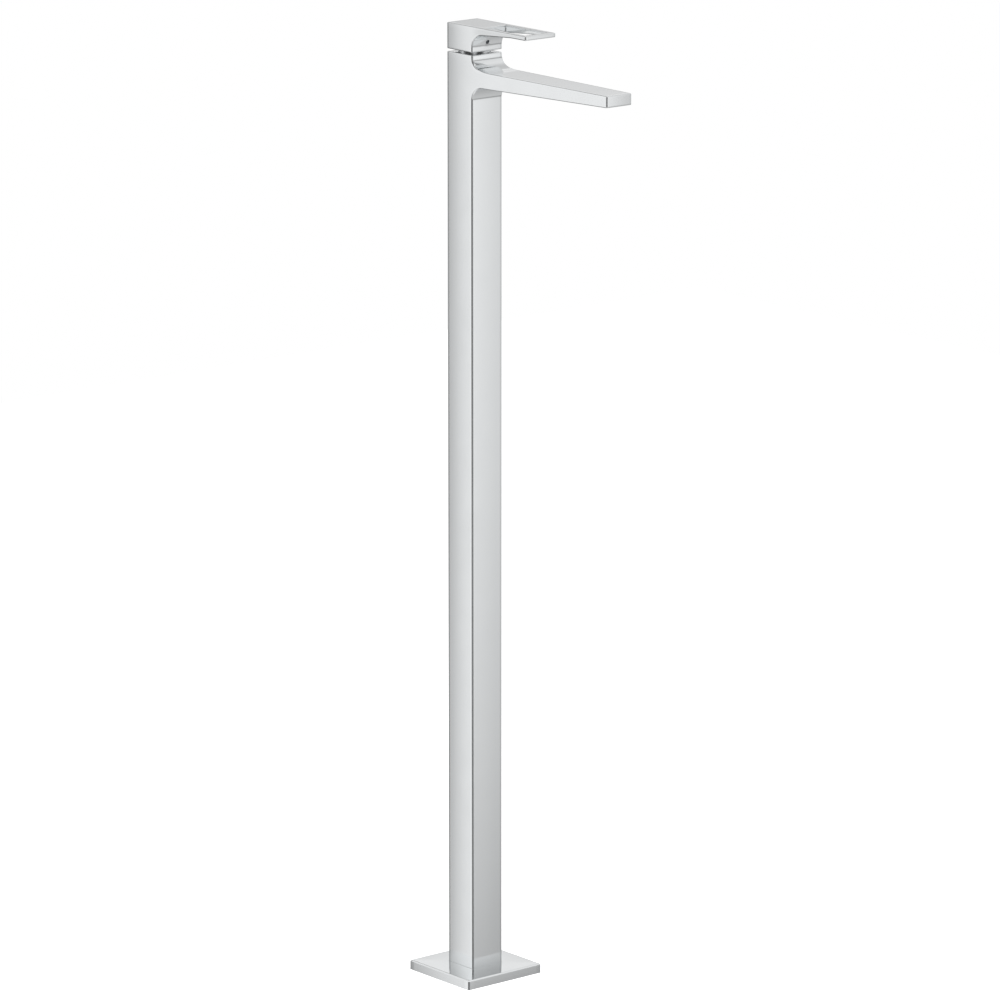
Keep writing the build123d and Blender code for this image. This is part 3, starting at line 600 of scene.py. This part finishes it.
def under_arm(y):
    """Underside of the arm at y, with its outward normals: the hollow arc near the block, at centre + sqrt(r^2 - dy^2),
    then a straight slope, which the arc of the bend turns level towards the tip."""
    depth = np.sqrt(np.maximum(under_arm_radius ** 2 - (y - arc_centre[0]) ** 2, 0))
    tangent = bend_radius * tan(atan(slope) / 2)
    level_start = handle_tip + level_length
    in_bend = level_start + tangent > y
    sloped = handle_top - arm_root + slope * (front - y)
    past = np.clip(y - level_start + tangent, 0, None)
    bent = handle_top - arm_tip - bend_radius + np.sqrt(bend_radius ** 2 - past ** 2)
    on_arc = y > arc[-1, 0]
    z = np.where(on_arc, arc_centre[1] + depth, np.where(in_bend, bent, sloped))
    steep = np.where(in_bend, past / bend_radius, slope)
    inward = -(line(y, z) - arc_centre) / under_arm_radius
    straight = -line(steep, 1.0) / np.sqrt(1 + steep ** 2)[:, None]
    return line(y, z), np.where(on_arc[:, None], inward, straight)


under, under_normals = under_arm(arc_y)
fade = np.clip((arc_y - arc[-1, 0]) / (front - arc[-1, 0]), 0, 1) ** 2
under_rows = handle_rows(under, under_normals, crown * fade)
top_rows = handle_rows(line(arc_y, handle_top), (0.0, 1.0), 0)
top_rows[0, :, 1] = front + crown * columns ** 2
top_rows[0, [0, -1], 0] = under_rows[0, [0, -1], 0]
tip_line = between((handle_tip, handle_top), (handle_tip, handle_top - arm_tip), arm_tip_steps)
tip_rows = handle_rows(tip_line, (-1.0, 0.0), arm_tip_crown)
top_rows[-1], under_rows[-1] = tip_rows[0], tip_rows[-1]
low_levels = np.linspace(handle_bottom, arc[0, 1], block_steps + 1)
body_levels = np.concatenate([low_levels, np.linspace(arc[0, 1], handle_top, arm_tip_steps + 1)[1:]])
rear_rows = handle_rows(line(half_width, body_levels), (1.0, 0.0), crown)
front_rows = handle_rows(line(front, low_levels), (-1.0, 0.0), crown)
block_top = handle_rows(line(body_y, handle_top), (0.0, 1.0), 0)
block_top[0], block_top[-1] = rear_rows[-1], top_rows[0]
in_loop = abs(columns[:-1] + columns[1:]) / 2 * corner_at < hole_half
row_y = (arc_y[:-1] + arc_y[1:]) / 2
kept_top = ~(((row_y < -hole_back) & (row_y > hole_front))[:, None] & in_loop[None, :])
plug_z, plug_margin, plug_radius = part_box("screw_cover_plug")[0].z + 2.45 * mm, 5 * mm, 2.5 * mm
first = max(int(np.argmax(under[:, 1] > plug_z - plug_margin)) - 1, 0)
last = int(np.argmax(under[:, 1] > plug_z + plug_margin))
kept_under = kept_top.copy()
kept_under[first:last, plug_columns[0]:plug_columns[1]] = False
patches = [grid(front_rows), grid(rear_rows), grid(tip_rows), grid(block_top)]
patches += [grid(top_rows, kept_top), grid(under_rows, kept_under)]
patches += flanks(body_levels, handle_half, under_rows, top_rows, tip_rows)
# The loop's four inner walls.
opening = ((int(np.argmin(abs(arc_y + hole_back))), int(np.argmin(abs(arc_y - hole_front)))), loop_columns)
patches.append(rings(*between(border(top_rows, *opening), border(under_rows, *opening), 3)))
# The hole for the grub screw and its plug, in the hollow arc.
plug_depth, plug_reach = 6 * mm, 7 * mm
loop = border(under_rows, (first, last), plug_columns)
rim = circle_on(loop, (0, 0, plug_z), plug_radius, (0, 2))
rim[:, 1] = arc_centre[0] + np.sqrt(under_arm_radius ** 2 - (rim[:, 2] - arc_centre[1]) ** 2)
deep = rim * (1, 0, 1) + (0, front + plug_depth, 0)
patches.append(rings(*between(loop, rim, 2), deep, deep * 0 + (0, front + plug_depth, plug_z)))
# The block is hollow from below, with the boss in the middle.
block_wall, cavity_top = 2.5 * mm, handle_bottom + 19 * mm
boss_radius, boss_bottom = 8.5 * mm, handle_bottom + 5.4 * mm
socket_radius, socket_top = 5.9 * mm, handle_bottom + 17.1 * mm
cavity_share = (half_width - block_wall) / half_width
bottom_loop = frame_loop(rear_rows[0], front_rows[0], handle_half, handle_bottom)
cavity = bottom_loop * (cavity_share, cavity_share, 1)
ceiling = cavity + (0, 0, cavity_top - handle_bottom)
boss = (
    (boss_radius, cavity_top), (boss_radius, boss_bottom), (socket_radius, boss_bottom), (socket_radius, socket_top),
    (0, socket_top),
)
boss_loops = [circle_on(cavity, (0, 0, z), radius, (0, 1)) for radius, z in boss]
patches.append(rings(bottom_loop, cavity, ceiling, *boss_loops))


def handle_share(start, end):
    """The rim of the screw's hole and the edges inside the block stay nearly sharp."""
    share = np.ones(len(start))
    share[near(start, end, (0, front, plug_z), plug_reach)] = fine_edge
    inside = np.maximum(abs(start[:, :2]), abs(end[:, :2])).max(axis=1) < half_width - 2 * mm
    share[inside & (np.maximum(start[:, 2], end[:, 2]) < cavity_top + 0.1 * mm)] = fine_edge
    return share


handle_chrome = chrome("chrome_on_polished_zinc_casting", "Y")
handle = make_piece("loop_handle", patches, handle_chrome, "lever", handle_edge, handle_share)
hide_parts("handle")

# Cover plug and aerator.
# The plug is pressed into the screw's hole and has a shallow dished face. The aerator's housing and insert sit in
# the spout's tip. All are moulded grey ABS, satin, with a fine moulded grain.
grey_plastic, tree, shader = new_material("moulded_grey_abs", IOR=1.5)
skin = grain(tree, 0.7 * mm)
tones = {"Fac": (skin, "Fac"), "Color1": linear("#5F6468"), "Color2": linear("#6C7175")}
tone = add(tree, "ShaderNodeMixRGB", tones)
sockets = {"Value": (skin, "Fac"), **noise_middle, "To Min": 0.34, "To Max": 0.46}
gloss = add(tree, "ShaderNodeMapRange", sockets)
tree.links.new(tone.outputs[0], shader.inputs["Base Color"])
tree.links.new(gloss.outputs[0], shader.inputs["Roughness"])
dress(grey_plastic, "screw_cover_plug", "aerator_housing", "aerator_insert")

# Base cover.
# The real piece is pressed and folded steel, buffed and chrome plated. It slides down the column onto the floor.
low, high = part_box("escutcheon")
cover_half, cover_height, cover_wall, cover_bevel = high.x, high.z, 2 * mm, 1.6 * mm
hole_half_width = half_width + 0.25 * mm
cover_crown, cover_dome, flat_rim = 0.25 * mm, 0.3 * mm, 6 * mm
bevel_drop, dome_rings = 0.9, 7
rim_inner, ceiling_z = cover_half - cover_wall, cover_height - cover_wall


def dome_at(half):
    """Height of the cover's top at a half width: it falls by the dome times the square of the way to the rim."""
    return cover_height - cover_dome * ((half - hole_half_width) / (cover_half - hole_half_width)) ** 2


def cover_share(start, end):
    """The four upright corners get the full rounding, and the edges round the top a fine one."""
    return np.where(abs(start[:, 2] - end[:, 2]) > 0.5 * mm, 1.0, fine_edge)


profile = [
    (cover_half, 0), (cover_half, cover_height - cover_bevel),
    (cover_half - cover_bevel, cover_height - cover_dome * bevel_drop),
    *((half, dome_at(half)) for half in np.linspace(cover_half - flat_rim, hole_half_width, dome_rings)),
    (hole_half_width, ceiling_z), (rim_inner, ceiling_z), (rim_inner, 0), (cover_half, 0),
]
halves = [half for half, _ in profile]
bulges = np.interp(halves, [hole_half_width, cover_half - flat_rim, cover_half], [crown, 0, cover_crown])
cover_rows = [square_row(half, bulge, z) for (half, z), bulge in zip(profile, bulges)]
cover_chrome = chrome("chrome_on_pressed_steel", "X")
cover = make_piece("base_cover", [rings(*cover_rows)], cover_chrome, "root", cover_bevel, cover_share)
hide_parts("escutcheon")

# Camera.
# It stands where the photograph was taken from, worked out from the object's own edges.
heading, pitch = radians(-39.62), radians(13.134)
lens, distance = 231.16, 7.6152
back = Vector((sin(heading) * cos(pitch), -cos(heading) * cos(pitch), sin(pitch)))
aside = Vector((cos(heading), sin(heading), 0))
aim_height, aim_aside = 0.58323, 0.02975
target = Vector((0, 0, aim_height)) + aside * aim_aside
camera = bpy.data.objects.new("camera", bpy.data.cameras.new("camera"))
camera.data.lens, camera.data.sensor_width = lens, 36
camera.location = target + back * distance
camera.rotation_euler = (-back).to_track_quat("-Z", "Y").to_euler()
bpy.context.scene.collection.objects.link(camera)
bpy.context.scene.camera = camera

# Floor.
# A plain pale sheet. It keeps the object's soft shadow, and its edge melts into the white behind.
floor_half = 3.0
floor_mesh = bpy.data.meshes.new("floor")
corner = np.array([[-1, -1], [1, -1], [1, 1], [-1, 1]]) * floor_half
floor_mesh.from_pydata(np.column_stack([corner, np.zeros(4)]).tolist(), [], [(0, 1, 2, 3)])
floor = bpy.data.objects.new("floor", floor_mesh)
bpy.context.scene.collection.objects.link(floor)
floor_material = bpy.data.materials.new("pale_floor")
floor_material.use_nodes = True
tree = floor_material.node_tree
tree.nodes.clear()
rays = add(tree, "ShaderNodeLightPath")
matt = add(tree, "ShaderNodeBsdfDiffuse", {"Color": linear("#F2F2F2")})
glow = add(tree, "ShaderNodeEmission", {"Strength": 0.75})
lit = add(tree, "ShaderNodeAddShader", {0: (matt, 0), 1: (glow, 0)})
seen = add(tree, "ShaderNodeMixShader", {0: (rays, "Is Camera Ray"), 1: (matt, 0), 2: (lit, 0)})
clear = add(tree, "ShaderNodeBsdfTransparent")
mirrored = add(tree, "ShaderNodeMixShader", {0: (rays, "Is Glossy Ray"), 1: (seen, 0), 2: (clear, 0)})
add(tree, "ShaderNodeOutputMaterial", {0: (mirrored, 0)})
floor_mesh.materials.append(floor_material)

# Light.
# A white tent with soft grey gaps, as for any polished piece: the world is what the chrome shows.
world = bpy.data.worlds.new("studio tent")
bpy.context.scene.world = world
world.use_nodes = True
tree = world.node_tree
tree.nodes.clear()
rays = add(tree, "ShaderNodeLightPath")
place = add(tree, "ShaderNodeTexCoord")
turned = add(tree, "ShaderNodeMapping", {"Vector": (place, "Generated"), "Rotation": (0, 0, pi / 2 - heading)})
parts = add(tree, "ShaderNodeSeparateXYZ", {0: (turned, 0)})
angle = add(tree, "ShaderNodeMath", {0: (parts, "Y"), 1: (parts, "X")}, operation="ARCTAN2")
share = add(tree, "ShaderNodeMapRange", {"Value": (angle, 0), "From Min": -pi, "From Max": pi})


def around(stops):
    """A ring of greys round the object: each stop is (degrees to the right of the camera, strength)."""
    stops = [((degree + 180) / 360, strength) for degree, strength in stops]
    return add(tree, "ShaderNodeValToRGB", {"Fac": (share, 0)}, stops)


def window(source, output, low, high, stops):
    """A ramp from low to high only, for edges that a ramp over the whole round is too coarse for."""
    part = add(tree, "ShaderNodeMapRange", {"Value": (source, output), "From Min": low, "From Max": high})
    stops = [((value - low) / (high - low), strength) for value, strength in stops]
    return add(tree, "ShaderNodeValToRGB", {"Fac": (part, 0)}, stops)


def both(first, second):
    """Two pictures, one through the other like two gauzes: their strengths are multiplied."""
    layers = {"Fac": 1.0, "Color1": (first, 0), "Color2": (second, 0)}
    return add(tree, "ShaderNodeMixRGB", layers, blend_type="MULTIPLY")


def shift(source, output, low, high, first, second):
    """From the first picture to the second as a value goes from low to high, by 3t^2 - 2t^3."""
    sockets = {"Value": (source, output), "From Min": low, "From Max": high}
    step = add(tree, "ShaderNodeMapRange", sockets, interpolation_type="SMOOTHSTEP")
    return add(tree, "ShaderNodeMixRGB", {"Fac": (step, 0), "Color1": (first, 0), "Color2": (second, 0)})


degrees = add(tree, "ShaderNodeMath", {0: (angle, 0), 1: 180 / pi}, operation="MULTIPLY")
# The ring at the object's own height: bright sheets behind and beside it, and black between, where the camera stands.
level_ring = around([
    (-180, 0.95), (-106, 0.95), (-98, 0.95), (-90, 0.9), (-84, 0.04), (-13, 0.04), (-8, 0.85), (8, 0.85), (13, 0.04),
    (68, 0.04), (74, 0.95), (77, 0.95), (83, 0.62), (90, 0.6), (130, 0.7), (180, 0.95),
])
# The left sheet's far edge darkens the left faces, and the right one fades with height.
left_edge = window(degrees, 0, -106, -98, [
    (-106, 0.34), (-102.9, 0.36), (-102.5, 0.52), (-102.0, 0.64), (-101.5, 0.76), (-100.9, 0.9), (-99.7, 0.97),
    (-98, 1.0),
])
tilt = add(tree, "ShaderNodeMath", {0: (parts, "Z")}, operation="ABSOLUTE")
right_fall = window(tilt, 0, 0.15, 0.32, [
    (0.15, 1.0), (0.18, 1.0), (0.225, 0.95), (0.255, 0.84), (0.285, 0.73), (0.296, 0.54), (0.32, 0.46),
])
low_ring = shift(degrees, 0, 60, 72, both(level_ring, left_edge), both(level_ring, right_fall))
# Low behind the object, the tent has soft bands that the level tops show.
behind_low = window(parts, "Z", 0.12, 0.42, [
    (0.12, 0.46), (0.15, 0.55), (0.163, 0.68), (0.18, 0.9), (0.2, 0.86), (0.27, 0.72), (0.29, 0.84), (0.31, 0.95),
    (0.34, 0.85), (0.42, 0.6),
])
# Above the horizon the sheets are a tenth brighter, which makes up for the base cover's second reflection.
lift = add(tree, "ShaderNodeRGB")
lift.outputs[0].default_value = (1.1, 1.1, 1.1, 1)
high_ring = shift(degrees, 0, 115, 130, both(low_ring, lift), behind_low)
high_ring = shift(degrees, 0, -150, -165, high_ring, behind_low)
level_all = shift(parts, "Z", -0.02, 0.02, low_ring, high_ring)
above = around([
    (-180, 0.6), (-168, 0.4), (-160, 0.05), (-136, 0.05), (-129, 0.85), (-95, 0.85), (-80, 0.25), (70, 0.25),
    (82, 0.8), (112, 0.85), (165, 0.6), (180, 0.6),
])
below = around([
    (-180, 0.7), (-160, 0.5), (-152, 0.06), (-112, 0.06), (-104, 0.5), (-80, 0.6), (80, 0.6), (145, 0.4), (180, 0.7),
])
plain_top = add(tree, "ShaderNodeRGB")
plain_top.outputs[0].default_value = (0.95, 0.95, 0.95, 1)
tent = shift(parts, "Z", 0.33, 0.42, level_all, above)
tent = shift(parts, "Z", -0.33, -0.42, tent, below)
tent = shift(parts, "Z", 0.76, 0.9, tent, plain_top)
tent = shift(parts, "Z", -0.76, -0.9, tent, plain_top)
shown = add(tree, "ShaderNodeBackground", {"Color": (tent, 0), "Strength": 1.0})
plain = add(tree, "ShaderNodeBackground", {"Color": linear("#FFFFFF"), "Strength": 1.0})
soft = add(tree, "ShaderNodeBackground", {"Color": linear("#FFFFFF"), "Strength": 0.35})
for_matt = add(tree, "ShaderNodeMixShader", {0: (rays, "Is Camera Ray"), 1: (soft, 0), 2: (plain, 0)})
for_all = add(tree, "ShaderNodeMixShader", {0: (rays, "Is Glossy Ray"), 1: (for_matt, 0), 2: (shown, 0)})
add(tree, "ShaderNodeOutputWorld", {0: (for_all, 0)})

# One large soft lamp above gives the plastic pieces and the floor their light.
lamp = bpy.data.objects.new("overhead softbox", bpy.data.lights.new("overhead softbox", "AREA"))
lamp.data.shape, lamp.data.size, lamp.data.energy = "SQUARE", 2.2, 60
lamp.location = (-0.4, -0.5, 3.0)
lamp.rotation_euler = (-Vector(lamp.location)).to_track_quat("-Z", "Y").to_euler()
lamp.visible_glossy = False
bpy.context.scene.collection.objects.link(lamp)

bpy.context.scene.view_settings.view_transform = "Standard"
